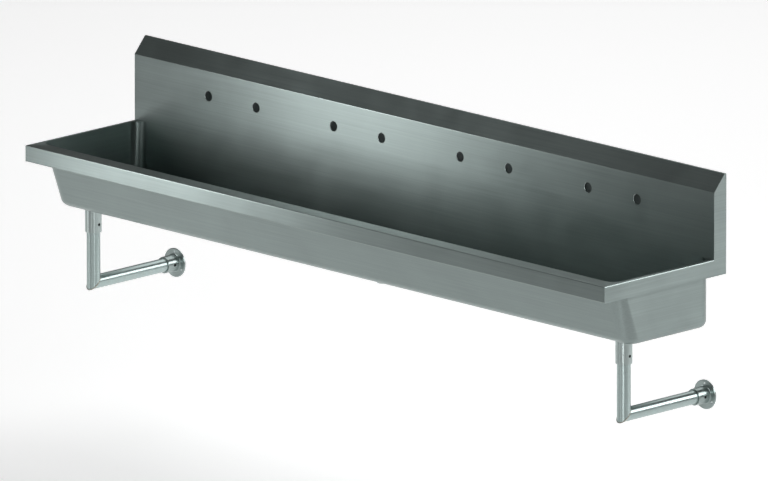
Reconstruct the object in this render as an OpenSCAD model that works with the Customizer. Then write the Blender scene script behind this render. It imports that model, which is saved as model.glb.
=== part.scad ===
// Wall-hung trough sink for several people at once, in folded and welded stainless sheet.
// A long bowl with a raked front hangs from a wall rail behind its high splash, and two
// bent tubes carry its front from the wall. All lengths are in millimetres.
// +Z is up and +Y points to the wall. The origin lies on the wall plane, at the middle of
// the wall rail's screw line. Inside the modules y counts from the rim's front face and
// z from the rim's top, and at_rim() moves them to their place.

/* [Trough] */
// Length from end face to end face
trough_l = 2438.4; // [2100:0.1:3000]
// Depth from the rim's front face to the back of the splash
trough_d = 508; // [460:0.1:600]
// Depth of the bowl inside, below the rim
bowl_h = 203.2; // [160:0.1:260]
// Width of the front ledge, up to the bowl's inner wall
front_ledge_w = 50.8; // [40:0.1:70]
// Width of each end ledge, up to the bowl's inner wall
end_ledge_w = 12.7; // [11:0.1:40]
// How far the front wall leans in from the rim to the bottom
front_rake = 73.2; // [20:0.1:90]
// Outer radius of the bowl's upright corners
corner_r = 40; // [30:0.1:60]
// Outer radius along the bowl's bottom edges
bottom_r = 22; // [12:0.1:28]
// Height of the apron round the rim
apron_h = 50.8; // [35:0.1:70]
// Width of the hem turned in under the front apron
hem_w = 12.7; // [8:0.1:20]
// Thickness of the sheet
sheet_t = 2; // [1.5:0.1:2.5]
// Inside radius of the sheet's folds
fold_r = 1.6; // [1:0.1:2]

/* [Splash] */
// Height of the upright face above the rim
face_h = 203.2; // [150:0.1:300]
// Depth from the upright face to the back
splash_d = 50.8; // [45:0.1:80]
// Height of the sloped return above the upright face
return_h = 50.8; // [35:0.1:80]
// Width of the flat strip along the top
cap_w = 7; // [6:0.1:12]
// Height of the lip that hangs down at the back and hooks over the wall rail
lip_h = 50.8; // [35:0.1:80]

/* [Faucet holes] */
// Number of stations along the trough
stations = 4; // [1:1:4]
// Distance between the centres of neighbouring stations
station_pitch = 533.4; // [450:0.1:580]
// Distance between the two holes of one station
hole_spacing = 203.2; // [100:0.1:300]
// Diameter of each faucet hole
faucet_hole_d = 31.75; // [25:0.05:38]
// Height of the holes above the rim
faucet_hole_up = 127; // [80:0.1:140]

/* [Wall rail] */
// Gap between the back of the splash and the wall
wall_gap = 19.05; // [15:0.05:30]
// Thickness of the rail
rail_t = 3; // [2:0.1:4]
// Inside radius of the rail's folds
rail_fold_r = 3; // [2:0.1:4]
// Height of the flange that is screwed to the wall
rail_flange_h = 50.8; // [40:0.1:80]
// Height of the upturned hook behind the splash's lip
rail_hook_h = 25.4; // [15:0.1:32]
// Distance from each end face of the trough to the end of the rail
rail_inset = 76.2; // [30:0.1:150]
// Distance between neighbouring screw holes, one per wall stud
stud_pitch = 406.4; // [300:0.1:620]
// Diameter of the rail's screw holes
rail_hole_d = 8.5; // [5:0.1:12]

/* [Supports] */
// Distance from each end face of the trough to the support's upright
leg_inset = 101.6; // [80:0.1:300]
// Distance from the rim's front face to the support's upright
leg_y = 184.15; // [170:0.05:260]
// Height from the rim's top down to the wall tube's centre line
leg_drop = 438.15; // [380:0.05:560]
// Outer diameter of the tube
tube_od = 41.275; // [32:0.005:45]
// Wall thickness of the tube
tube_t = 1.65; // [1.2:0.05:3]
// Outer diameter of the socket under the bowl
socket_od = 50.8; // [48:0.1:65]
// Length of the socket below the bowl
socket_l = 76.2; // [60:0.1:110]
// Free height in the socket above the tube's end, for levelling
socket_room = 14; // [12:0.1:20]
// Height of the set screw above the socket's lower end
socket_screw_up = 25.4; // [15:0.1:30]
// Size of the weld bead round the socket's top
bead = 3.5; // [1:0.1:6]
// Diameter of the set screws
screw_d = 9.525; // [6:0.005:11]
// Size of the hexagon socket in a set screw, across its corners
screw_hex_d = 5.5; // [3:0.1:6]

/* [Wall flanges] */
// Diameter of the flange's disc
flange_d = 88.9; // [80:0.1:120]
// Thickness of the disc
flange_t = 4.8; // [3:0.1:8]
// Outer diameter of the hub
hub_od = 50.8; // [48:0.1:60]
// Distance from the wall to the front of the hub
hub_l = 50.8; // [42:0.1:70]
// Distance from the wall to the end of the tube inside the hub
tube_end_gap = 12.7; // [12:0.1:16]
// Distance from the wall to the hub's set screw
hub_screw_y = 25.4; // [22:0.1:30]
// Number of screw holes in the disc
flange_holes = 3; // [3:1:6]
// Diameter of the screw holes
flange_hole_d = 6.6; // [4:0.1:8]

/* [Drain] */
// Distance from the rim's front face to the drain's centre
drain_y = 304.8; // [270:0.1:330]
// Depth of the recess stamped round the drain
recess_h = 4; // [2:0.1:8]
// Outer diameter of the drain's threaded shank
shank_d = 54; // [50:0.1:58]
// Length of the shank below the recess
shank_l = 21; // [20:0.1:30]
// Outer diameter of the threaded outlet below the shank
outlet_d = 48.26; // [45:0.01:50]
// Length of the outlet
outlet_l = 31; // [25:0.1:50]
// Bore of the drain
drain_bore_d = 41; // [34:0.1:42]
// Diameter of the drain's flange
drain_flange_d = 79.4; // [70:0.1:90]
// Thickness of the drain's flange
drain_flange_t = 2.6; // [2:0.1:4]
// Thickness of the rubber gasket under the bowl
gasket_t = 3.2; // [2:0.1:5]
// Thickness of the slip ring between gasket and locknut
slip_ring_t = 0.8; // [0.5:0.1:2]
// Height of the locknut
locknut_h = 9.5; // [6:0.1:12]
// Depth of the strainer basket below the drain's flange
basket_h = 17; // [12:0.1:25]
// Diameter of the holes in the basket
basket_hole_d = 3.6; // [2:0.1:4]

/* [Hidden] */

steel = [0.54, 0.60, 0.59];
bright_steel = [0.69, 0.75, 0.75];
dark_steel = [0.36, 0.40, 0.40];
brass = [0.72, 0.60, 0.34];
rubber = [0.09, 0.09, 0.09];
fibre = [0.55, 0.36, 0.22];

$fn = 64;
// Facets round the blended corners of the bowl's ends, and steps in the arcs that meet them
form_fn = 40;
form_steps = form_fn / 4;
// Steps in each fold's arc
fold_steps = 6;
// How far a cut runs past the surface that it opens
overrun = 1;
// Radial clearance of a tube in its socket or hub
slide_clearance = 0.09;
// Clearance round a fixed thread
thread_clearance = 0.05;
// Gap between a set screw's tip and the tube, before it is tightened
tip_gap = 0.3;

half_l = trough_l / 2;
splash_y = trough_d - splash_d;
splash_top = face_h + return_h;
lip_foot = splash_top - lip_h;
wall_y = trough_d + wall_gap;
rim_z = rail_flange_h / 2 - lip_foot;
bowl_foot = -bowl_h - sheet_t;
front_deck_w = front_ledge_w - sheet_t;
corner_x = half_l - end_ledge_w + sheet_t - corner_r;
corner_back = splash_y + sheet_t - corner_r;
rake = atan(front_rake / bowl_h);
// Depth position of the front corners' axis at the foot, where the raked wall meets the edge's arc
foot_slope = (bowl_h - bottom_r) * tan(rake) + bottom_r / cos(rake);
corner_foot = front_deck_w + foot_slope + corner_r - bottom_r;
leg_x = half_l - leg_inset;
tube_r = tube_od / 2;
slide_r = tube_r + slide_clearance;
screw_hex_depth = screw_hex_d / 2;
// Shares of a socket's or hub's wall: how deep the set screw's head lies, and the chamfers
screw_sink_share = 0.1;
chamfer_share = 0.25;
socket_wall = socket_od / 2 - slide_r;
hub_wall = hub_od / 2 - slide_r;
// Share of the weld bead's size at the middle of its concave face
bead_hollow_share = 1 / 3;
flange_bolt_r = (flange_d + hub_od) / 4;
// Cove between the disc and the hub, as a share of the disc's width, and its hollow
cove_share = 1 / 6;
cove_hollow_share = 0.3;
flange_cove = (flange_d - hub_od) / 2 * cove_share;
flange_edge_share = 1 / 3;
recess_r = drain_flange_d / 2 + sheet_t;
recess_foot = -bowl_h - recess_h;
shank_r = shank_d / 2;
outlet_r = outlet_d / 2;
drain_bore_r = drain_bore_d / 2;
drain_hole_r = shank_r + sheet_t / 2;
outlet_chamfer_share = 1 / 3;
basket_t = drain_flange_t / 2;
basket_gap = basket_t / 3;
seat_r = shank_r + drain_flange_t;
washer_r = drain_flange_d / 2 - sheet_t;
// Shares of the locknut's height: its wall and the height of its lugs
locknut_wall_share = 0.7;
locknut_lug_share = 0.75;
locknut_r = shank_r + locknut_h * locknut_wall_share;
locknut_lug_w = locknut_h;
locknut_lugs = 6;
// Radii of the two rings of holes in the basket's floor, as shares of the floor's radius
basket_ring_shares = [0.39, 0.77];
basket_ring_holes = 6;
basket_side_holes = 12;
// Radii of the knob's stem and head as shares of the drain's bore, and its heights as shares of the head
knob_stem_share = 0.25;
knob_head_share = 0.5;
knob_edge_shares = [0.5, 0.25];
knob_top_share = 0.8;

// Turns a two-dimensional point by an angle about the origin
function turned(p, a) = [p[0] * cos(a) - p[1] * sin(a), p[0] * sin(a) + p[1] * cos(a)];
function unit(v) = v / norm(v);
function left_of(v) = [-v[1], v[0]];

// Arc of radius r that replaces corner p between its neighbours a and b
function corner_arc(a, p, b, r, steps) =
    let (
        u = unit(a - p), v = unit(b - p), half = acos(u * v) / 2,
        centre = p + unit(u + v) * r / sin(half),
        start = p + u * r / tan(half) - centre,
        sweep = (u[0] * v[1] - u[1] * v[0] > 0 ? -1 : 1) * (180 - 2 * half)
    )
    [for (k = [0 : steps]) centre + turned(start, sweep * k / steps)];

// Outline through the points, where each corner with a radius becomes an arc
function rounded(points, radii, steps = fold_steps) =
    let (n = len(points))
    [for (i = [0 : n - 1], p = radii[i] == 0 ? [points[i]] : corner_arc(
        points[(i + n - 1) % n], points[i], points[(i + 1) % n], radii[i], steps
    )) p];

// Point i of a path, moved t to its left and mitred where the path turns
function offset_point(path, i, t) =
    let (
        before = left_of(unit(path[max(i, 1)] - path[max(i, 1) - 1])),
        last = len(path) - 2,
        after = left_of(unit(path[min(i, last) + 1] - path[min(i, last)]))
    )
    path[i] + t * (before + after) / (1 + before * after);

// Whether a path turns left (1), right (-1) or ends (0) at point i
function turn_at(path, i) =
    i == 0 || i == len(path) - 1 ? 0
        : let (u = path[i] - path[i - 1], v = path[i + 1] - path[i]) sign(u[0] * v[1] - u[1] * v[0]);

// Closed outline of a sheet of thickness t folded along a path, which is its right-hand face
function folded_sheet(path, t, r) =
    let (
        last = len(path) - 1,
        right_radii = [for (i = [0 : last]) let (s = turn_at(path, i)) s == 0 ? 0 : s > 0 ? r + t : r],
        left_radii = [for (i = [last : -1 : 0]) let (s = turn_at(path, i)) s == 0 ? 0 : s > 0 ? r : r + t],
        left_points = [for (i = [last : -1 : 0]) offset_point(path, i, t)]
    )
    rounded(concat(path, left_points), concat(right_radii, left_radii));

// Moves a piece from the rim's coordinates to its place on the wall
module at_rim() {
    translate([0, -wall_y, rim_z]) children();
}

// Extrudes a (y, z) profile along X
module along_x(from, to) {
    translate([from, 0, 0]) rotate([90, 0, 90]) linear_extrude(to - from) children();
}

// Extrudes an (x, z) profile along Y
module along_y(from, to) {
    translate([0, to, 0]) rotate([90, 0, 0]) linear_extrude(to - from) children();
}

// Outline of the bowl across its length, drawn in by inset and open at height top
module bowl_section(inset, top) {
    front = front_deck_w + inset / cos(rake);
    foot = bowl_foot + inset;
    bend = bottom_r - inset;
    polygon(rounded([
        [front, top], [front, -sheet_t], [front + front_rake - inset * tan(rake), foot],
        [splash_y + sheet_t - inset, foot], [splash_y + sheet_t - inset, top]
    ], [0, 0, bend, bend, 0], form_steps));
}

// Solid that fills the bowl's right end, drawn in by inset, with corners blended all round
module end_form(inset, top) {
    r = corner_r - inset;
    edge = bottom_r - inset;
    corner_front = front_deck_w + inset / cos(rake) + r;
    hull() {
        for (y = [corner_front, corner_back])
            translate([corner_x, y, -sheet_t]) cylinder(r = r, h = sheet_t + top, $fn = form_fn);
        for (y = [corner_foot, corner_back])
            translate([corner_x, y, bowl_foot + inset + edge])
                rotate_extrude($fn = form_fn) intersection() {
                    translate([r - edge, 0]) circle(r = edge, $fn = form_fn);
                    translate([0, -edge]) square([r, edge]);
                }
    }
}

// Outer outline of the bowl's mouth, seen from above
module bowl_mouth() {
    depth = splash_y + sheet_t - front_deck_w;
    translate([-corner_x, front_deck_w]) square([2 * corner_x, depth]);
    translate([-corner_x - corner_r, front_deck_w + corner_r])
        square([2 * (corner_x + corner_r), depth - 2 * corner_r]);
    for (side = [-1, 1], y = [front_deck_w + corner_r, corner_back])
        translate([side * corner_x, y]) circle(r = corner_r);
}

// Cone that widens upwards at 45 degrees, for the recess stamped round the drain
module recess_cone(foot, top, r) {
    translate([0, drain_y, foot]) cylinder(r1 = r, r2 = r + top - foot, h = top - foot);
}

// Front wall, bottom and rear wall of the bowl in one folded sheet, with a stamped drain recess
module bowl_wrap() {
    color(steel) at_rim() difference() {
        union() {
            along_x(-corner_x, corner_x) bowl_section(0, 0);
            recess_cone(recess_foot - sheet_t, bowl_foot + sheet_t / 2, recess_r + sheet_t / 2);
        }
        along_x(-corner_x - overrun, corner_x + overrun) bowl_section(sheet_t, overrun);
        recess_cone(recess_foot, overrun - bowl_h, recess_r);
        translate([0, drain_y, recess_foot - sheet_t - overrun])
            cylinder(r = drain_hole_r, h = sheet_t + 2 * overrun);
    }
}

// Pressed end of the bowl, coved along its front, bottom and rear, and welded to the wrap
module bowl_end() {
    size = bowl_h + splash_y;
    difference() {
        end_form(0, 0);
        end_form(sheet_t, overrun);
        translate([corner_x - size, front_deck_w - overrun, bowl_foot - overrun]) cube(size);
    }
}

module left_bowl_end() {
    color(steel) at_rim() mirror([1, 0, 0]) bowl_end();
}

module right_bowl_end() {
    color(steel) at_rim() bowl_end();
}

// Space that belongs to the end pieces, past the mitre at each of the rim's front corners
module end_zone() {
    reach = max(front_deck_w, half_l - corner_x);
    translate([0, 0, -apron_h - overrun]) linear_extrude(apron_h + 2 * overrun) for (side = [-1, 1])
        polygon([
            [side * (half_l + overrun), -overrun],
            [side * (half_l - reach), reach],
            [side * (half_l - reach), trough_d + overrun],
            [side * (half_l + overrun), trough_d + overrun]
        ]);
}

// Front ledge, apron and hem, folded from one strip and mitred at both ends
module front_rim() {
    path = [[front_deck_w, 0], [0, 0], [0, -apron_h], [hem_w, -apron_h]];
    color(steel) at_rim() difference() {
        along_x(-half_l, half_l) polygon(folded_sheet(path, sheet_t, fold_r));
        end_zone();
    }
}

// End of the trough: ledge and apron folded together, and the plate that closes the splash
module end_cap() {
    fold_out = fold_r + sheet_t;
    rim_path = [[half_l, -apron_h], [half_l, 0], [corner_x, 0]];
    plate = [
        [splash_y, -apron_h], [trough_d, -apron_h], [trough_d, splash_top],
        [trough_d - cap_w, splash_top], [splash_y, face_h]
    ];
    difference() {
        union() {
            intersection() {
                along_y(0, splash_y + sheet_t) polygon(folded_sheet(rim_path, sheet_t, fold_r));
                end_zone();
            }
            along_x(half_l - sheet_t, half_l) polygon(rounded(plate, [0, 0, fold_out, fold_out, fold_out]));
        }
        translate([0, 0, -sheet_t - overrun]) linear_extrude(sheet_t + 2 * overrun) bowl_mouth();
    }
}

module left_end_cap() {
    color(steel) at_rim() mirror([1, 0, 0]) end_cap();
}

module right_end_cap() {
    color(steel) at_rim() end_cap();
}

// Splash: upright face with the faucet holes, sloped return, flat cap and rear lip in one fold
module splash_panel() {
    path = [
        [trough_d, lip_foot], [trough_d, splash_top], [trough_d - cap_w, splash_top],
        [splash_y, face_h], [splash_y, 0]
    ];
    color(steel) at_rim() difference() {
        along_x(-half_l + sheet_t, half_l - sheet_t) polygon(folded_sheet(path, sheet_t, fold_r));
        for (i = [0 : stations - 1], side = [-1, 1])
            translate([
                (i - (stations - 1) / 2) * station_pitch + side * hole_spacing / 2,
                splash_y + sheet_t + overrun, faucet_hole_up
            ])
                rotate([90, 0, 0]) cylinder(d = faucet_hole_d, h = sheet_t + 2 * overrun);
    }
}

// Z-shaped rail on the wall: the splash's lip drops in behind its hook and rests on its web
module wall_rail() {
    hook_y = trough_d - sheet_t - rail_fold_r;
    rail_half = half_l - rail_inset;
    path = [
        [wall_y, lip_foot - rail_flange_h], [wall_y, lip_foot],
        [hook_y, lip_foot], [hook_y, lip_foot + rail_hook_h]
    ];
    pairs = floor((rail_half - rail_hole_d) / stud_pitch + 0.5);
    color(dark_steel) at_rim() difference() {
        along_x(-rail_half, rail_half) polygon(folded_sheet(path, rail_t, rail_fold_r));
        for (i = [1 : pairs], side = [-1, 1])
            translate([side * (i - 0.5) * stud_pitch, wall_y + overrun, lip_foot - rail_flange_h / 2])
                rotate([90, 0, 0]) cylinder(d = rail_hole_d, h = rail_t + 2 * overrun);
    }
}

// Tube welded under the bowl, with a weld bead at its top and a tapped hole for its set screw
module leg_socket(side) {
    r = socket_od / 2;
    cut = socket_wall * chamfer_share;
    color(bright_steel) at_rim() translate([side * leg_x, leg_y, bowl_foot]) difference() {
        rotate_extrude() polygon([
            [slide_r, 0], [slide_r, cut - socket_l], [slide_r + cut, -socket_l], [r - cut, -socket_l],
            [r, cut - socket_l], [r, -bead], [r + bead * bead_hollow_share, -bead * bead_hollow_share],
            [r + bead, 0]
        ]);
        translate([0, 0, socket_screw_up - socket_l]) rotate([0, 90, 0])
            cylinder(r = screw_d / 2 + thread_clearance, h = socket_od);
    }
}

module left_leg_socket() {
    leg_socket(-1);
}

module right_leg_socket() {
    leg_socket(1);
}

// Headless set screw that points along -X, with its tip at x = 0
module set_screw(length) {
    rotate([0, 90, 0]) difference() {
        cylinder(d = screw_d, h = length);
        translate([0, 0, length - screw_hex_depth])
            cylinder(d = screw_hex_d, h = screw_hex_depth + overrun, $fn = 6);
    }
}

module socket_screw(side) {
    color(dark_steel) at_rim()
        translate([side * leg_x + tube_r + tip_gap, leg_y, bowl_foot + socket_screw_up - socket_l])
            set_screw((socket_wall - tip_gap) * (1 - screw_sink_share));
}

module left_socket_screw() {
    socket_screw(-1);
}

module right_socket_screw() {
    socket_screw(1);
}

// Half space above the mitre where the upright meets the wall tube
module above_mitre() {
    size = 2 * wall_y;
    translate([0, leg_y, -leg_drop]) rotate([45, 0, 0]) translate([-size / 2, -size / 2, 0]) cube(size);
}

// Upright tube of a support, from inside the socket down to the mitred corner
module upright_tube(side) {
    foot = -leg_drop - tube_od;
    color(bright_steel) at_rim() translate([side * leg_x, 0, 0]) intersection() {
        translate([0, leg_y, foot]) difference() {
            cylinder(r = tube_r, h = bowl_foot - socket_room - foot);
            translate([0, 0, -overrun])
                cylinder(r = tube_r - tube_t, h = bowl_foot - socket_room - foot + 2 * overrun);
        }
        above_mitre();
    }
}

module left_upright_tube() {
    upright_tube(-1);
}

module right_upright_tube() {
    upright_tube(1);
}

// Level tube of a support, from the mitred corner back into the wall flange
module wall_tube(side) {
    start = leg_y - tube_od;
    length = wall_y - tube_end_gap - start;
    color(bright_steel) at_rim() translate([side * leg_x, 0, 0]) difference() {
        translate([0, wall_y - tube_end_gap, -leg_drop]) rotate([90, 0, 0]) difference() {
            cylinder(r = tube_r, h = length);
            translate([0, 0, -overrun]) cylinder(r = tube_r - tube_t, h = length + 2 * overrun);
        }
        above_mitre();
    }
}

module left_wall_tube() {
    wall_tube(-1);
}

module right_wall_tube() {
    wall_tube(1);
}

// Moves a piece drawn on z = 0 with its axis along +Z to a support's wall end
module at_flange(side) {
    at_rim() translate([side * leg_x, wall_y, -leg_drop]) rotate([90, 0, 0]) children();
}

// Round flange with a hub that slides on the wall tube
module wall_flange(side) {
    disc_r = flange_d / 2;
    hub_r = hub_od / 2;
    cut = hub_wall * chamfer_share;
    rim_cut = flange_t * flange_edge_share;
    hollow = flange_cove * cove_hollow_share;
    color(steel) at_flange(side) difference() {
        rotate_extrude() polygon([
            [slide_r, 0], [disc_r, 0], [disc_r, flange_t - rim_cut], [disc_r - rim_cut, flange_t],
            [hub_r + flange_cove, flange_t], [hub_r + hollow, flange_t + hollow],
            [hub_r, flange_t + flange_cove], [hub_r, hub_l - cut], [hub_r - cut, hub_l],
            [slide_r + cut, hub_l], [slide_r, hub_l - cut]
        ]);
        for (i = [0 : flange_holes - 1]) rotate(90 + i * 360 / flange_holes)
            translate([flange_bolt_r, 0, -overrun]) cylinder(d = flange_hole_d, h = flange_t + 2 * overrun);
        translate([0, 0, hub_screw_y]) rotate([0, 90, 0])
            cylinder(r = screw_d / 2 + thread_clearance, h = flange_d);
    }
}

module left_wall_flange() {
    wall_flange(-1);
}

module right_wall_flange() {
    wall_flange(1);
}

module flange_screw(side) {
    color(dark_steel) at_flange(side) translate([tube_r + tip_gap, 0, hub_screw_y])
        set_screw((hub_wall - tip_gap) * (1 - screw_sink_share));
}

module left_flange_screw() {
    flange_screw(-1);
}

module right_flange_screw() {
    flange_screw(1);
}

// Moves a piece whose z = 0 is the floor of the drain recess to the drain
module at_drain() {
    at_rim() translate([0, drain_y, recess_foot]) children();
}

// Drain: a flange in the bowl, a shank for the locknut and an outlet, with a seat for the strainer
module drain_body() {
    r = drain_flange_d / 2;
    seat = drain_flange_t - basket_t;
    foot = -shank_l - outlet_l;
    cut = (outlet_r - drain_bore_r) * outlet_chamfer_share;
    color(bright_steel) at_drain() rotate_extrude() polygon([
        [drain_bore_r, foot], [outlet_r - cut, foot], [outlet_r, foot + cut],
        [outlet_r, -shank_l], [shank_r - cut, -shank_l], [shank_r, cut - shank_l], [shank_r, 0],
        [r, 0], [r, basket_t / 2], [r - basket_t, drain_flange_t], [seat_r, drain_flange_t],
        [seat_r, seat], [drain_bore_r + cut, seat], [drain_bore_r, seat - cut]
    ]);
}

// Flat ring round the shank, from height foot up by t
module shank_ring(foot, t, r) {
    translate([0, 0, foot]) difference() {
        cylinder(r = r, h = t);
        translate([0, 0, -overrun]) cylinder(r = shank_r + thread_clearance, h = t + 2 * overrun);
    }
}

module drain_gasket() {
    color(rubber) at_drain() shank_ring(-sheet_t - gasket_t, gasket_t, washer_r);
}

module drain_slip_ring() {
    color(fibre) at_drain() shank_ring(-sheet_t - gasket_t - slip_ring_t, slip_ring_t, washer_r);
}

// Cast nut with lugs that draws the drain down onto the bowl
module drain_locknut() {
    foot = -sheet_t - gasket_t - slip_ring_t - locknut_h;
    color(brass) at_drain() difference() {
        translate([0, 0, foot]) union() {
            cylinder(r = locknut_r, h = locknut_h);
            for (i = [0 : locknut_lugs - 1]) rotate(i * 360 / locknut_lugs)
                translate([0, -locknut_lug_w / 2, 0])
                    cube([washer_r, locknut_lug_w, locknut_h * locknut_lug_share]);
        }
        translate([0, 0, foot - overrun])
            cylinder(r = shank_r + thread_clearance, h = locknut_h + 2 * overrun);
    }
}

// Perforated cup that hangs by its rim in the drain and lifts out
module strainer_basket() {
    rim_r = seat_r - basket_gap;
    cup_r = drain_bore_r - basket_gap;
    seat = drain_flange_t - basket_t;
    inner_r = cup_r - basket_t;
    color(bright_steel) at_drain() difference() {
        translate([0, 0, -basket_h]) union() {
            cylinder(r = cup_r, h = basket_h + seat);
            translate([0, 0, basket_h + seat]) cylinder(r = rim_r, h = basket_t);
        }
        translate([0, 0, basket_t - basket_h]) cylinder(r = inner_r, h = basket_h + drain_flange_t);
        for (ring = [1, 2], i = [1 : ring * basket_ring_holes]) rotate(i * 360 / ring / basket_ring_holes)
            translate([inner_r * basket_ring_shares[ring - 1], 0, -basket_h - overrun])
                cylinder(d = basket_hole_d, h = basket_t + 2 * overrun);
        for (i = [1 : basket_side_holes]) rotate(i * 360 / basket_side_holes)
            translate([0, 0, -basket_h / 2]) rotate([0, 90, 0]) cylinder(d = basket_hole_d, h = seat_r);
    }
}

// Turned knob on the basket's floor, to lift it by
module strainer_knob() {
    stem_r = drain_bore_r * knob_stem_share / 2;
    head_r = drain_bore_r * knob_head_share / 2;
    top = basket_h + drain_flange_t - basket_t;
    color(bright_steel) at_drain() translate([0, 0, basket_t - basket_h]) rotate_extrude() polygon([
        [0, 0], [head_r, 0], [head_r, basket_t], [stem_r, 2 * basket_t], [stem_r, top - head_r],
        [head_r, top - head_r * knob_edge_shares[0]], [head_r, top - head_r * knob_edge_shares[1]],
        [head_r * knob_top_share, top], [0, top]
    ]);
}

bowl_wrap();
left_bowl_end();
right_bowl_end();
front_rim();
left_end_cap();
right_end_cap();
splash_panel();
wall_rail();
left_leg_socket();
right_leg_socket();
left_socket_screw();
right_socket_screw();
left_upright_tube();
right_upright_tube();
left_wall_tube();
right_wall_tube();
left_wall_flange();
right_wall_flange();
left_flange_screw();
right_flange_screw();
drain_body();
drain_gasket();
drain_slip_ring();
drain_locknut();
strainer_basket();
strainer_knob();
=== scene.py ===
# A wall-hung trough sink for several people at once, in folded and welded stainless sheet.
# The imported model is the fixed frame: metres, +Z up, the wall plane at Y = 0, X = 0 mid-length.
import math
import bmesh
import bpy
from mathutils import Matrix, Vector


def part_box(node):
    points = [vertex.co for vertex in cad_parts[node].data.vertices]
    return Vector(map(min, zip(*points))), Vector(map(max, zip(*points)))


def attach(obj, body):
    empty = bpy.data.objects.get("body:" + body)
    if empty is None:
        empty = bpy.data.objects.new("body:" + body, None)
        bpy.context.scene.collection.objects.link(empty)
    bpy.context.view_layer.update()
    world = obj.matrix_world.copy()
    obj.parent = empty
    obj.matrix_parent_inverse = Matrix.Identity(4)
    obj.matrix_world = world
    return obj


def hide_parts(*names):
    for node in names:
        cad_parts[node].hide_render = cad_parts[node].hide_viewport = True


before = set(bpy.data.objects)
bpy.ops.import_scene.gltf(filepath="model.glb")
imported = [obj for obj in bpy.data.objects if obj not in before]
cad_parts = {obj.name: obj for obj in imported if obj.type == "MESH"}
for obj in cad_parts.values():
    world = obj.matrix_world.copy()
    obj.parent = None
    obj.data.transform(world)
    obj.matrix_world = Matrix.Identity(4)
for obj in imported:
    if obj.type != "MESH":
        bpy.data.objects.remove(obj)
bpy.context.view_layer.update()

bpy.ops.object.select_all(action="DESELECT")


# The wall rail. A Z-shaped strip of 3 mm stainless steel, pressed to shape on a brake and screwed
# to the wall's studs. The splash's rear lip hooks over its upturned edge. It keeps the mill's dull
# 2B finish, which gives the eye a soft grey sheen with faint rolling lines along its length.
def srgb(code):
    """Linear colour of an sRGB hex code."""
    parts = [int(code[i:i + 2], 16) / 255 for i in (0, 2, 4)]
    return (*[c / 12.92 if c <= 0.04045 else ((c + 0.055) / 1.055) ** 2.4 for c in parts], 1)


def new_material(name, settings):
    """Starts a material and sets the inputs of its Principled shader."""
    material = bpy.data.materials.new(name)
    material.use_nodes = True
    shader = material.node_tree.nodes["Principled BSDF"]
    for key, value in settings.items():
        shader.inputs[key].default_value = value
    return material, shader


def add_node(material, kind, settings=None, links=None):
    """Adds a shader node to a material or the world, sets its inputs and links them."""
    node = material.node_tree.nodes.new("ShaderNode" + kind)
    for key, value in (settings or {}).items():
        if isinstance(key, str) and hasattr(node, key):
            setattr(node, key, value)
        else:
            node.inputs[key].default_value = value
    for key, output in (links or {}).items():
        material.node_tree.links.new(output, node.inputs[key])
    return node


def finish_node(node_name, material):
    """Gives a CAD node its finish."""
    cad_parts[node_name].material_slots[0].material = material


rolling_lines = (2, 150, 150)
rolled_roughness = (0.36, 0.5)
mill_steel, shader = new_material("stainless_2b_mill_finish", {
    "Base Color": srgb("8C9492"), "Metallic": 1,
})
place = add_node(mill_steel, "TexCoord")
lines_at = add_node(mill_steel, "Mapping", {"Scale": rolling_lines}, {"Vector": place.outputs["Object"]})
lines = add_node(mill_steel, "TexNoise", {"Scale": 1, "Detail": 4}, {"Vector": lines_at.outputs[0]})
dullness = add_node(
    mill_steel, "MapRange", {"To Min": rolled_roughness[0], "To Max": rolled_roughness[1]},
    {"Value": lines.outputs[0]},
)
mill_steel.node_tree.links.new(dullness.outputs[0], shader.inputs["Roughness"])
finish_node("wall_rail", mill_steel)


# The bowl. One skin of 2 mm sheet: front wall, bottom and rear wall are folded from one length, and
# a pressed end with coved corners is welded in on each side. The welds are ground flush and the
# whole skin is belt-brushed to a satin finish. The drain sits in a shallow stamped recess.
def box(name, low, high):
    """Adds a box between two corners, with its place and size in its mesh."""
    bpy.ops.mesh.primitive_cube_add(size=1, location=(low + high) / 2, scale=high - low)
    bpy.ops.object.transform_apply()
    piece = bpy.context.object
    piece.name = name
    return piece


def pick(mode, test):
    """In edit mode, selects the vertices, edges or faces that pass a test, and nothing else."""
    bpy.ops.mesh.select_mode(type=mode)
    bpy.ops.mesh.select_all(action="DESELECT")
    shape = bmesh.from_edit_mesh(bpy.context.object.data)
    for item in {"VERT": shape.verts, "EDGE": shape.edges, "FACE": shape.faces}[mode]:
        item.select_set(test(item))
    shape.select_flush_mode()
    bmesh.update_edit_mesh(bpy.context.object.data)


def apply_modifier(piece, kind, settings):
    """Adds a modifier with its settings and applies it."""
    modifier = piece.modifiers.new(kind.lower(), kind)
    for key, value in settings.items():
        setattr(modifier, key, value)
    bpy.ops.object.modifier_apply(modifier=modifier.name)


streak_tones = (0.92, 1.06)
wipe_tones = (0.96, 1.03)
uneven_polish = 0.02
scratch_depth = 0.0006
swirls_per_metre = 260
wipes_per_metre = 5


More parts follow.
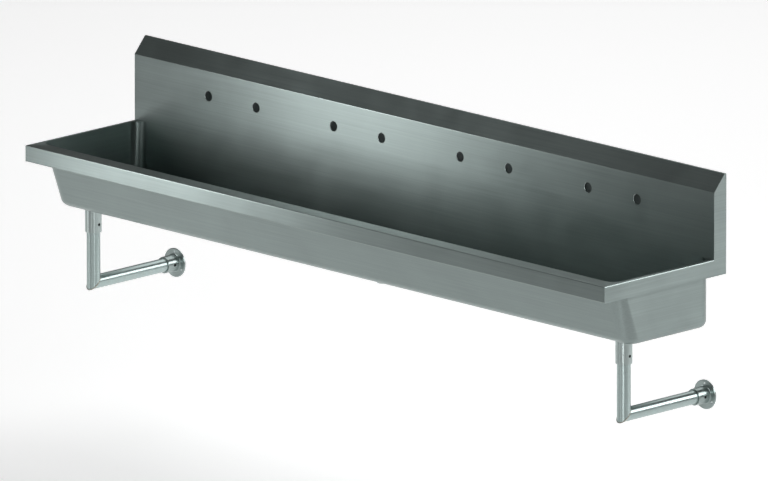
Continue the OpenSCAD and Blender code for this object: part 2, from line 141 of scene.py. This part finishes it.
def brushed_steel(name, colour, roughness, grain, spread_axis, spread_turn=0, seam=None,
                  turned_about=None, groove=0.05):
    """Satin stainless: streaks along the brushing, and highlights spread across it.

    grain is how often the streaks repeat in a metre along X, Y and Z. The real scratches are far
    finer than a pixel, so the streaks are drawn 3 to 4 mm wide and up to 300 mm long. A seam is
    a plane, as its normal, place and half width, and shows as a band that was ground flush in all
    directions. Both sides mirror each other, so a place has no sign. A piece that was turned about
    an axis through turned_about has rings in place of streaks. The wipes are broad, faint changes
    of tone, as a hand polish leaves them.
    """
    material, shader = new_material(name, {
        "Metallic": 1, "Anisotropic": 0.75, "Anisotropic Rotation": spread_turn,
    })
    spread = add_node(material, "Tangent", {"direction_type": "RADIAL", "axis": spread_axis})
    place = add_node(material, "TexCoord").outputs["Object"]
    either_side = add_node(material, "VectorMath", {"operation": "ABSOLUTE"}, {0: place}).outputs[0]
    if turned_about:
        along = [float(letter == spread_axis) for letter in "XYZ"]
        from_axis = add_node(
            material, "VectorMath", {"operation": "SUBTRACT", 1: turned_about}, {0: either_side},
        ).outputs[0]
        out = add_node(
            material, "VectorMath", {"operation": "MULTIPLY", 1: [1 - share for share in along]},
            {0: from_axis},
        ).outputs[0]
        radius = add_node(material, "VectorMath", {"operation": "LENGTH"}, {0: out}).outputs["Value"]
        outward = add_node(material, "CombineXYZ", None, {"X": radius}).outputs[0]
        rings_at = add_node(
            material, "VectorMath", {"operation": "MULTIPLY_ADD", 1: along},
            {0: from_axis, 2: outward},
        ).outputs[0]
    streaks_at = add_node(
        material, "Mapping", {"Scale": grain}, {"Vector": rings_at if turned_about else place},
    )
    streaks = add_node(
        material, "TexNoise", {"Scale": 1, "Detail": 4, "Roughness": 0.55},
        {"Vector": streaks_at.outputs[0]},
    ).outputs[0]
    if seam:
        normal, seam_place, half_width = seam
        across = add_node(
            material, "VectorMath", {"operation": "DOT_PRODUCT", 1: normal}, {0: either_side},
        ).outputs["Value"]
        on_seam = add_node(
            material, "Math", {"operation": "COMPARE", 1: seam_place, 2: half_width}, {0: across},
        ).outputs[0]
        swirls = add_node(
            material, "TexNoise", {"Scale": swirls_per_metre, "Detail": 4, "Distortion": 1},
            {"Vector": place},
        ).outputs[0]
        streaks = add_node(
            material, "Mix", {"data_type": "FLOAT"}, {0: on_seam, 2: streaks, 3: swirls},
        ).outputs[0]
    wipes = add_node(
        material, "TexNoise", {"Scale": wipes_per_metre, "Detail": 3, "Distortion": 0.6},
        {"Vector": place},
    ).outputs[0]
    streak_tone = add_node(material, "MapRange", {
        "From Min": 0.25, "From Max": 0.75, "To Min": streak_tones[0], "To Max": streak_tones[1],
    }, {"Value": streaks})
    wipe_tone = add_node(material, "MapRange", {
        "From Min": 0.35, "From Max": 0.65, "To Min": wipe_tones[0], "To Max": wipe_tones[1],
    }, {"Value": wipes})
    tone = add_node(
        material, "Math", {"operation": "MULTIPLY"},
        {0: streak_tone.outputs[0], 1: wipe_tone.outputs[0]},
    )
    tint = add_node(
        material, "VectorMath", {"operation": "SCALE", 0: srgb(colour)[:3]},
        {"Scale": tone.outputs[0]},
    )
    streak_rough = add_node(material, "MapRange", {
        "From Min": 0.25, "From Max": 0.75,
        "To Min": roughness - uneven_polish, "To Max": roughness + uneven_polish,
    }, {"Value": streaks})
    wipe_rough = add_node(material, "MapRange", {
        "From Min": 0.35, "From Max": 0.65, "To Min": -uneven_polish, "To Max": uneven_polish,
    }, {"Value": wipes})
    rough = add_node(
        material, "Math", {"operation": "ADD"},
        {0: streak_rough.outputs[0], 1: wipe_rough.outputs[0]},
    )
    scratches = add_node(
        material, "Bump", {"Strength": groove, "Distance": scratch_depth}, {"Height": streaks},
    )
    links = material.node_tree.links
    links.new(spread.outputs[0], shader.inputs["Tangent"])
    links.new(tint.outputs[0], shader.inputs["Base Color"])
    links.new(rough.outputs[0], shader.inputs["Roughness"])
    links.new(scratches.outputs[0], shader.inputs["Normal"])
    return material


sheet_colour = "8F9A98"
belt_roughness = 0.32
long_streaks = 3
across_streaks = 280
grain_along_x = (long_streaks, across_streaks, across_streaks)
grain_along_y = (across_streaks, long_streaks, across_streaks)
seam_half = 0.006

sheet_t = 0.002
front_rake = 0.0732
corner_r = 0.040
bottom_r = 0.022
near = 0.0001
merged = 0.00001
straight = 0.9
smooth_below = math.radians(35)
bowl_low = Vector(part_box("left_bowl_end")[0])
bowl_high = Vector(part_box("right_bowl_end")[1])
wrap_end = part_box("bowl_wrap")[1][0]
bowl_middle = (bowl_low.y + bowl_high.y) / 2
bowl = box("bowl", bowl_low, bowl_high - Vector((0, 0, sheet_t)))
bpy.ops.object.mode_set(mode="EDIT")
pick("EDGE", lambda e: abs(e.verts[0].co.z - e.verts[1].co.z) > near)
bpy.ops.mesh.bevel(offset=corner_r, segments=12, profile=0.5)
pick("FACE", lambda f: f.normal.z > straight)
bpy.ops.mesh.delete(type="ONLY_FACE")
pick("VERT", lambda v: v.co.z < bowl_low.z + near and v.co.y < bowl_middle)
bpy.ops.transform.translate(value=(0, front_rake, 0))
pick("EDGE", lambda e: all(v.co.z < bowl_low.z + near for v in e.verts))
bpy.ops.mesh.bevel(offset=bottom_r, segments=8, profile=0.5)
pick("EDGE", lambda e: e.is_boundary)
bpy.ops.mesh.extrude_edges_move(TRANSFORM_OT_translate={"value": (0, 0, sheet_t)})

# The stamped recess: the bottom is opened, a ring is let in, and its edge is drawn down and in
drain_low, drain_high = (Vector(corner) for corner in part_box("drain_body"))
drain_axis = (drain_low + drain_high) / 2
recess_h = 0.004
recess_ring_r = 0.0467
recess_floor_r = 0.0427
drain_hole_r = 0.028
pick("FACE", lambda f: f.normal.z < -straight and f.calc_center_median().z < bowl_low.z + near)
bpy.ops.mesh.delete(type="ONLY_FACE")
ring_at = Vector((drain_axis.x, drain_axis.y, bowl_low.z))
bpy.ops.mesh.primitive_circle_add(vertices=96, radius=recess_ring_r, location=ring_at)
pick("EDGE", lambda e: (
    (e.is_boundary or e.is_wire) and all(v.co.z < bowl_low.z + near for v in e.verts)
))
bpy.ops.mesh.fill()
pick("EDGE", lambda e: all(abs((v.co - ring_at).length - recess_ring_r) < near for v in e.verts))
for depth, inner in ((recess_h, recess_floor_r / recess_ring_r), (0, drain_hole_r / recess_floor_r)):
    bpy.ops.mesh.extrude_edges_move(TRANSFORM_OT_translate={"value": (0, 0, -depth)})
    bpy.ops.transform.resize(value=(inner, inner, 1), center_override=ring_at)
bpy.ops.mesh.select_all(action="SELECT")
bpy.ops.mesh.remove_doubles(threshold=merged)
bpy.ops.mesh.normals_make_consistent(inside=False)
bpy.ops.object.mode_set(mode="OBJECT")
apply_modifier(bowl, "SOLIDIFY", {"thickness": sheet_t, "offset": -1, "use_even_offset": True})
bpy.ops.object.shade_smooth_by_angle(angle=smooth_below)
apply_modifier(bowl, "WEIGHTED_NORMAL", {"keep_sharp": True, "weight": 50})
end_weld = ((1, 0, 0), wrap_end, seam_half)
bowl.data.materials.append(brushed_steel(
    "satin_stainless_bowl_wrap", sheet_colour, belt_roughness, grain_along_x, "X", seam=end_weld,
))
bowl.data.materials.append(brushed_steel(
    "satin_stainless_bowl_ends", sheet_colour, belt_roughness, grain_along_y, "Y", seam=end_weld,
))
for face in bowl.data.polygons:
    face.material_index = int(abs(face.center.x) > wrap_end)
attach(bowl, "sink")
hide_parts("bowl_wrap", "left_bowl_end", "right_bowl_end")


# The rim. The front ledge, its apron and the hem are folded from one strip, and each end's ledge and
# apron from another, with the plate that closes the splash. They meet in mitred, ground welds.
rim_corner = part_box("front_rim")
mitre = ((1, -1, 0), rim_corner[1][0] + rim_corner[0][1], seam_half)
finish_node("front_rim", brushed_steel(
    "satin_stainless_front_rim", sheet_colour, belt_roughness, grain_along_x, "X", seam=mitre,
))
end_caps = brushed_steel(
    "satin_stainless_end_caps", sheet_colour, belt_roughness, grain_along_y, "Y", seam=mitre,
)
for side in ("left", "right"):
    finish_node(side + "_end_cap", end_caps)


# The splash. Upright face, sloped return, flat cap and rear lip are folded from one sheet, and
# the faucet holes are punched. It is brushed along its length like the bowl.
splash_end = ((1, 0, 0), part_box("splash_panel")[1][0], seam_half)
finish_node("splash_panel", brushed_steel(
    "satin_stainless_splash", sheet_colour, belt_roughness, grain_along_x, "X", seam=splash_end,
))


# The leg sockets. Short turned tubes, TIG-welded upright under the bowl, with a tapped hole for
# a set screw. The lathe leaves fine rings, which spread highlights along the socket's axis.
fine_rings = (900, 900, 900)
weld_grain = (300, 300, 300)
quarter_turn = 0.25
socket_low, socket_high = (Vector(corner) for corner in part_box("right_leg_socket"))
socket_axis = (socket_low + socket_high) / 2
turned_socket = brushed_steel(
    "turned_stainless_sockets", "B4C0BE", roughness=0.3, grain=fine_rings, spread_axis="Z",
    spread_turn=quarter_turn, turned_about=(socket_axis.x, -socket_axis.y, 0),
)
tig_weld = brushed_steel("tig_weld_bead", "A8A79C", roughness=0.3, grain=weld_grain, spread_axis="Z")
ripple_lead = 1.25


def lay_weld(name, stations, size):
    """Lays overlapping ripples along a seam. A station is a place, the seam's direction and out.

    A ripple is a flattened ball that stands a little higher on its leading side, and size holds
    its half length, half width and height.
    """
    bpy.ops.mesh.primitive_uv_sphere_add(segments=10, ring_count=6, radius=1)
    ripple = bpy.context.object
    bpy.ops.object.mode_set(mode="EDIT")
    pick("VERT", lambda v: v.co.x > 0)
    bpy.ops.transform.resize(value=(1, 1, ripple_lead), center_override=(0, 0, 0))
    bpy.ops.object.mode_set(mode="OBJECT")
    bpy.ops.object.shade_smooth()
    ripples = []
    for place, along, out in stations:
        across = out.cross(along).normalized()
        out = along.cross(across).normalized()
        copy = ripple.copy()
        copy.data = ripple.data.copy()
        turn = Matrix((along.normalized(), across, out)).transposed().to_4x4()
        copy.data.transform(Matrix.Translation(place) @ turn @ Matrix.Diagonal((*size, 1)))
        bpy.context.collection.objects.link(copy)
        ripples.append(copy)
    bpy.data.objects.remove(ripple)
    bpy.ops.object.select_all(action="DESELECT")
    for copy in ripples:
        copy.select_set(True)
    bpy.context.view_layer.objects.active = ripples[0]
    bpy.ops.object.join()
    weld = bpy.context.object
    weld.name = name
    weld.data.materials.append(tig_weld)
    return weld


bead = 0.0035
ripples_round = 72
ripple_size = (0.0020, 0.0028, 0.0014)
for side in ("left", "right"):
    low, high = (Vector(corner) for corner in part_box(side + "_leg_socket"))
    centre = (low + high) / 2
    bead_r = (high.x - low.x) / 2 - bead / 2
    stations = []
    for i in range(ripples_round):
        angle = 2 * math.pi * i / ripples_round
        radial = Vector((math.cos(angle), math.sin(angle), 0))
        along = Vector((-math.sin(angle), math.cos(angle), 0))
        place = Vector((centre.x, centre.y, high.z - bead / 2)) + bead_r * radial
        stations.append((place, along, radial - Vector((0, 0, 1))))
    weld = lay_weld(side + "_socket_weld", stations, ripple_size)
    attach(weld, "sink")
    finish_node(side + "_leg_socket", turned_socket)


# The set screws. Headless hexagon-socket screws in black-oxide alloy steel: near black, with
# a faint oily sheen that is a little uneven, as the oxide takes up the oil in patches.
def grained_material(name, dark, light, grain_mm, roughness, depth_mm, metallic=0):
    """A surface with grains of one size, between two colours, that stand out by a small depth."""
    uneven = 0.06
    material, shader = new_material(name, {"Metallic": metallic})
    place = add_node(material, "TexCoord").outputs["Object"]
    grains = add_node(
        material, "TexNoise", {"Scale": 1000 / grain_mm, "Detail": 4, "Roughness": 0.6},
        {"Vector": place},
    ).outputs[0]
    tone = add_node(material, "MapRange", {"From Min": 0.3, "From Max": 0.7}, {"Value": grains})
    colour = add_node(
        material, "Mix", {"data_type": "RGBA", 6: srgb(dark), 7: srgb(light)}, {0: tone.outputs[0]},
    )
    rough = add_node(material, "MapRange", {
        "From Min": 0.3, "From Max": 0.7, "To Min": roughness + uneven, "To Max": roughness - uneven,
    }, {"Value": grains})
    relief = add_node(
        material, "Bump", {"Strength": 0.5, "Distance": depth_mm / 1000}, {"Height": grains},
    )
    links = material.node_tree.links
    links.new(colour.outputs[2], shader.inputs["Base Color"])
    links.new(rough.outputs[0], shader.inputs["Roughness"])
    links.new(relief.outputs[0], shader.inputs["Normal"])
    return material


black_oxide = grained_material(
    "black_oxide_screws", "303333", "444848", grain_mm=0.6, roughness=0.38, depth_mm=0.02, metallic=1,
)
for name in ("left_socket_screw", "right_socket_screw", "left_flange_screw", "right_flange_screw"):
    finish_node(name, black_oxide)


# The supports. Two lengths of thin stainless tube, 41 mm across, cut at 45 degrees and TIG-welded
# into a corner. The tube is polished round, so its highlights run along it as bright strips.
# The tubes are the same steel as the sheet, but their colour is written lighter than the sheet's: a
# painted highlight.
tube_colour_painted_highlight = "B0BFBD"
tube_roughness = 0.34
tube_groove = 0.03
polished_z_painted_highlight = brushed_steel(
    "polished_stainless_uprights_painted_highlight", tube_colour_painted_highlight, tube_roughness, grain=(30, 30, 400),
    spread_axis="Z", spread_turn=quarter_turn, groove=tube_groove,
)
polished_y_painted_highlight = brushed_steel(
    "polished_stainless_wall_tubes_painted_highlight", tube_colour_painted_highlight, tube_roughness, grain=(30, 400, 30),
    spread_axis="Y", spread_turn=quarter_turn, groove=tube_groove,
)
mitre_size = (0.0018, 0.0024, 0.0009)
for side in ("left", "right"):
    finish_node(side + "_upright_tube", polished_z_painted_highlight)
    finish_node(side + "_wall_tube", polished_y_painted_highlight)
    up_low, up_high = (Vector(corner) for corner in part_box(side + "_upright_tube"))
    tube_r = (up_high.x - up_low.x) / 2
    centre = Vector(((up_low.x + up_high.x) / 2, (up_low.y + up_high.y) / 2, up_low.z + tube_r))
    stations = []
    for i in range(ripples_round):
        angle = 2 * math.pi * i / ripples_round
        cosine, sine = math.cos(angle), math.sin(angle)
        place = centre + tube_r * Vector((cosine, sine, sine))
        along = Vector((-sine, cosine, cosine))
        stations.append((place, along, Vector((2 * cosine, sine, sine))))
    weld = lay_weld(side + "_mitre_weld", stations, mitre_size)
    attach(weld, side + "_leg")


# The wall flanges. Each is a disc and a hub turned from one casting, which slides on the wall tube
# and is screwed to the wall. The turned face shows rings round its axis.
flange_low, flange_high = (Vector(corner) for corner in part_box("right_wall_flange"))
flange_axis = (flange_low + flange_high) / 2
turned_flange = brushed_steel(
    "turned_stainless_flanges", "9EAAA8", roughness=0.32, grain=fine_rings, spread_axis="Y",
    spread_turn=quarter_turn, turned_about=(flange_axis.x, 0, -flange_axis.z),
)
for side in ("left", "right"):
    finish_node(side + "_wall_flange", turned_flange)


# The drain. A turned stainless body that passes through the recess and is drawn down by a nut. Its
# shank and outlet carry threads cut on a lathe, 11.5 to the inch, each one helical ridge.
drain_top = bowl_low.z - recess_h + sheet_t
drain_bore_r = 0.0205
shank_r = 0.027
outlet_r = 0.02413
shank_foot = -0.021
drain_foot = drain_low.z - drain_top
inch = 0.0254
threads_per_inch = 11.5
thread_pitch = inch / threads_per_inch
thread_h = 0.0011
crest_share = 0.08
root_share = 0.46
ridge_sunk = 0.0003
turn_steps = 48
thread_crease = math.radians(30)
flange_r = (drain_high.x - drain_low.x) / 2
flange_top = drain_high.z - drain_top
seat_r = 0.0296
seat_z = 0.0013
chamfer = 0.0012
round_steps = 96
drain_outline = (
    (drain_bore_r, drain_foot), (outlet_r - thread_h - chamfer, drain_foot),
    (outlet_r - thread_h, drain_foot + chamfer), (outlet_r - thread_h, shank_foot),
    (shank_r - thread_h - chamfer, shank_foot), (shank_r - thread_h, shank_foot + chamfer),
    (shank_r - thread_h, -sheet_t), (shank_r, -sheet_t + thread_h), (shank_r, 0), (flange_r, 0),
    (flange_r, seat_z / 2), (flange_r - seat_z, flange_top), (seat_r, flange_top), (seat_r, seat_z),
    (drain_bore_r + chamfer, seat_z), (drain_bore_r, seat_z - chamfer), (drain_bore_r, drain_foot),
)
axis_top = Vector((drain_axis.x, drain_axis.y, drain_top))
bpy.ops.mesh.primitive_circle_add(
    vertices=round_steps, radius=drain_bore_r, location=axis_top + Vector((0, 0, drain_foot)),
)
drain = bpy.context.object
drain.name = "threaded_drain_body"
bpy.ops.object.transform_apply()
bpy.ops.object.mode_set(mode="EDIT")
for (r0, z0), (r1, z1) in zip(drain_outline, drain_outline[1:]):
    bpy.ops.mesh.extrude_edges_move(TRANSFORM_OT_translate={"value": (0, 0, z1 - z0)})
    bpy.ops.transform.resize(value=(r1 / r0, r1 / r0, 1), center_override=axis_top)
bpy.ops.mesh.select_all(action="SELECT")
bpy.ops.mesh.remove_doubles(threshold=merged)
bpy.ops.mesh.normals_make_consistent(inside=False)
bpy.ops.object.mode_set(mode="OBJECT")
bpy.ops.object.shade_smooth_by_angle(angle=thread_crease)


def cut_thread(crest_r, foot, top):
    """Winds one ridge with sloping flanks up a shank, from its foot to its top."""
    bpy.ops.mesh.primitive_plane_add(size=1)
    ridge = bpy.context.object
    bpy.ops.object.mode_set(mode="EDIT")
    shape = bmesh.from_edit_mesh(ridge.data)
    for corner in shape.verts:
        on_crest = corner.co.x > 0
        radius = crest_r if on_crest else crest_r - thread_h - ridge_sunk
        half = thread_pitch * (crest_share if on_crest else root_share)
        corner.co = (radius, 0, math.copysign(half, corner.co.y))
    bmesh.update_edit_mesh(ridge.data)
    bpy.ops.mesh.delete(type="ONLY_FACE")
    bpy.ops.object.mode_set(mode="OBJECT")
    apply_modifier(ridge, "SCREW", {
        "axis": "Z", "angle": 2 * math.pi, "screw_offset": thread_pitch, "steps": turn_steps,
        "render_steps": turn_steps, "iterations": int((top - foot) / thread_pitch - 1),
    })
    ridge.location = axis_top + Vector((0, 0, foot + thread_pitch / 2))
    bpy.ops.object.transform_apply()
    bpy.ops.object.mode_set(mode="EDIT")
    bpy.ops.mesh.select_all(action="SELECT")
    bpy.ops.mesh.fill_holes(sides=4)
    bpy.ops.mesh.normals_make_consistent(inside=False)
    bpy.ops.object.mode_set(mode="OBJECT")
    bpy.ops.object.shade_smooth_by_angle(angle=thread_crease)
    return ridge


ridges = [
    cut_thread(outlet_r, drain_foot + chamfer, shank_foot),
    cut_thread(shank_r, shank_foot + chamfer, -sheet_t),
]
for piece in ridges:
    piece.select_set(True)
drain.select_set(True)
bpy.context.view_layer.objects.active = drain
bpy.ops.object.join()
turned_drain = brushed_steel(
    "turned_stainless_drain", "AAB6B4", roughness=0.28, grain=fine_rings, spread_axis="Z",
    spread_turn=quarter_turn, turned_about=(drain_axis.x, -drain_axis.y, 0),
)
drain.data.materials.append(turned_drain)
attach(drain, "sink")
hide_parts("drain_body")


# The drain's washers and nut. A black nitrile rubber gasket seals under the bowl, a red-brown fibre
# ring lets the nut slip while it is tightened, and the nut is cast brass with a sandy skin.
rubber = grained_material(
    "black_nitrile_rubber", "19191A", "252526", grain_mm=0.5, roughness=0.72, depth_mm=0.03,
)
fibre = grained_material(
    "pressed_fibre_washer", "7A4A2E", "96664A", grain_mm=0.8, roughness=0.86, depth_mm=0.05,
)
brass = grained_material(
    "cast_brass_locknut", "A98C50", "C3A76C", grain_mm=0.7, roughness=0.38, depth_mm=0.06, metallic=1,
)
finish_node("drain_gasket", rubber)
finish_node("drain_slip_ring", fibre)
finish_node("drain_locknut", brass)


# The strainer. A pressed and pierced stainless basket with a turned knob, which lifts out of the
# drain's seat. Both have the drain's turned finish.
finish_node("strainer_basket", turned_drain)
finish_node("strainer_knob", turned_drain)


# The studio. A plain pale floor, at the height where the rim stands 864 mm above it. To the camera
# and the steel it also glows like a lit backdrop, less towards the front, and keeps the shadow.
# From below it is clear.
floor_z = -1.0414
floor_size = 60
backdrop_light = 0.52
front_share = 0.35
front_y = -3.5
behind_y = -0.3
bpy.ops.mesh.primitive_plane_add(size=floor_size, location=(0, 0, floor_z))
bpy.ops.object.transform_apply()
floor = bpy.context.object
floor.name = "floor"
pale_floor, shader = new_material("pale_matt_floor", {"Base Color": srgb("EDEDED"), "Roughness": 1})
place = add_node(pale_floor, "TexCoord")
depth = add_node(pale_floor, "SeparateXYZ", None, {0: place.outputs["Object"]})
far = add_node(pale_floor, "MapRange", {
    "interpolation_type": "SMOOTHSTEP", "From Min": front_y, "From Max": behind_y,
    "To Min": front_share * backdrop_light, "To Max": backdrop_light,
}, {"Value": depth.outputs["Y"]})


def seen_directly(material):
    """Adds the nodes that are 1 for the camera and for what metal and glass show, and 0 for light."""
    ray = add_node(material, "LightPath")
    camera_or_gloss = add_node(
        material, "Math", {"operation": "ADD"},
        {0: ray.outputs["Is Camera Ray"], 1: ray.outputs["Is Glossy Ray"]},
    )
    return add_node(
        material, "Math", {"operation": "ADD", "use_clamp": True},
        {0: camera_or_gloss.outputs[0], 1: ray.outputs["Is Transmission Ray"]},
    )


seen = seen_directly(pale_floor)
glow = add_node(
    pale_floor, "Math", {"operation": "MULTIPLY"}, {0: far.outputs[0], 1: seen.outputs[0]},
)
pale_floor.node_tree.links.new(glow.outputs[0], shader.inputs["Emission Strength"])
shader.inputs["Emission Color"].default_value = (1, 1, 1, 1)
shader.inputs["Specular IOR Level"].default_value = 0


def show_from_front(material, shader):
    """Makes a surface of the studio clear from behind."""
    facing = add_node(material, "NewGeometry")
    clear = add_node(material, "BsdfTransparent")
    one_sided = add_node(material, "MixShader", None, {
        0: facing.outputs["Backfacing"], 1: shader.outputs[0], 2: clear.outputs[0],
    })
    output = material.node_tree.nodes["Material Output"]
    material.node_tree.links.new(one_sided.outputs[0], output.inputs["Surface"])


show_from_front(pale_floor, shader)
floor.data.materials.append(pale_floor)


# The wall that the sink hangs on, only as far as it shows through the faucet holes. It is seen
# from the front and takes no part in the light, so the other views show the sink's back freely.
wall_inset = 0.12
wall_reach = 0.1
wall_gap = 0.0005
splash_low, splash_high = (Vector(corner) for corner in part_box("splash_panel"))
wall_top = splash_high.z - wall_reach
wall_foot = splash_low.z - wall_reach
bpy.ops.mesh.primitive_plane_add(
    size=1, location=(0, wall_gap, (wall_top + wall_foot) / 2), rotation=(math.pi / 2, 0, 0),
)
wall = bpy.context.object
wall.scale = (2 * (splash_high.x - wall_inset), wall_top - wall_foot, 1)
bpy.ops.object.transform_apply()
wall.name = "wall"
for ray_kind in ("visible_shadow", "visible_diffuse", "visible_glossy"):
    setattr(wall, ray_kind, False)
# The wall's dark grey is painted shade: it stands for a pale wall in the shade behind the splash.
wall_painted_shade, shader = new_material("grey_wall_painted_shade", {"Base Color": srgb("606464"), "Roughness": 1})
show_from_front(wall_painted_shade, shader)
wall.data.materials.append(wall_painted_shade)


def softbox(name, place, aim, width, height, power, spread):
    """Adds a rectangular lamp that faces a point, with a grid that narrows its spread in degrees."""
    bpy.ops.object.light_add(type="AREA", location=place)
    lamp = bpy.context.object
    lamp.name = name
    lamp.data.shape = "RECTANGLE"
    lamp.data.size = width
    lamp.data.size_y = height
    lamp.data.energy = power
    lamp.data.spread = math.radians(spread)
    lamp.rotation_euler = (Vector(place) - Vector(aim)).to_track_quat("Z", "Y").to_euler()


softbox("key", place=(-2.5, -2.45, 0.2), aim=(-0.3, -0.07, -0.1),
        width=0.6, height=1.6, power=2.6, spread=60)
softbox("front_right", place=(2.6, -2.6, 0.3), aim=(0.2, -0.1, -0.2),
        width=0.8, height=1.6, power=5, spread=60)
softbox("front", place=(0.3, -3.6, 0.4), aim=(0, -0.07, -0.15),
        width=1.2, height=1.2, power=3, spread=60)
softbox("back_right", place=(5, 4.5, 2.5), aim=(0, -0.2, -0.5),
        width=3.5, height=3.5, power=32, spread=60)
softbox("overhead", place=(-2.4, 3.4, 5), aim=(-2.4, 3.4, 0),
        width=6, height=6, power=150, spread=150)


# The world is dim above, like a studio's ceiling. Past the floor's edge, below the horizon, it has
# the far floor's brightness.
sky_light = 0.1
past_floor_light = 0.66
world = bpy.data.worlds.new("studio")
bpy.context.scene.world = world
world.use_nodes = True
direction = add_node(world, "TexCoord")
height = add_node(world, "SeparateXYZ", None, {0: direction.outputs["Generated"]})
below = add_node(world, "Math", {"operation": "LESS_THAN", 1: 0}, {0: height.outputs["Z"]})
seen = seen_directly(world)
pale = add_node(world, "Math", {"operation": "MULTIPLY"}, {0: below.outputs[0], 1: seen.outputs[0]})
level = add_node(
    world, "MapRange", {"To Min": sky_light, "To Max": past_floor_light}, {"Value": pale.outputs[0]},
)
background = world.node_tree.nodes["Background"]
background.inputs["Color"].default_value = (1, 1, 1, 1)
world.node_tree.links.new(level.outputs[0], background.inputs["Strength"])


# The view: half way round to the sink's right and a little above it. A very long lens from far
# away draws parallel edges parallel, as the photograph's flat projection does.
view_azimuth = math.radians(45.17)
view_elevation = math.radians(14.12)
view_aim = Vector((-0.2246, 0, -0.3888))
view_distance = 63.68
lens_mm = 1000
back = Vector((
    math.sin(view_azimuth) * math.cos(view_elevation),
    -math.cos(view_azimuth) * math.cos(view_elevation),
    math.sin(view_elevation),
))
bpy.ops.object.camera_add(
    location=view_aim + back * view_distance,
    rotation=(math.pi / 2 - view_elevation, 0, view_azimuth),
)
camera = bpy.context.object
camera.data.lens = lens_mm
camera.data.clip_end = 2 * view_distance
bpy.context.scene.camera = camera
bpy.context.scene.view_settings.view_transform = "Standard"
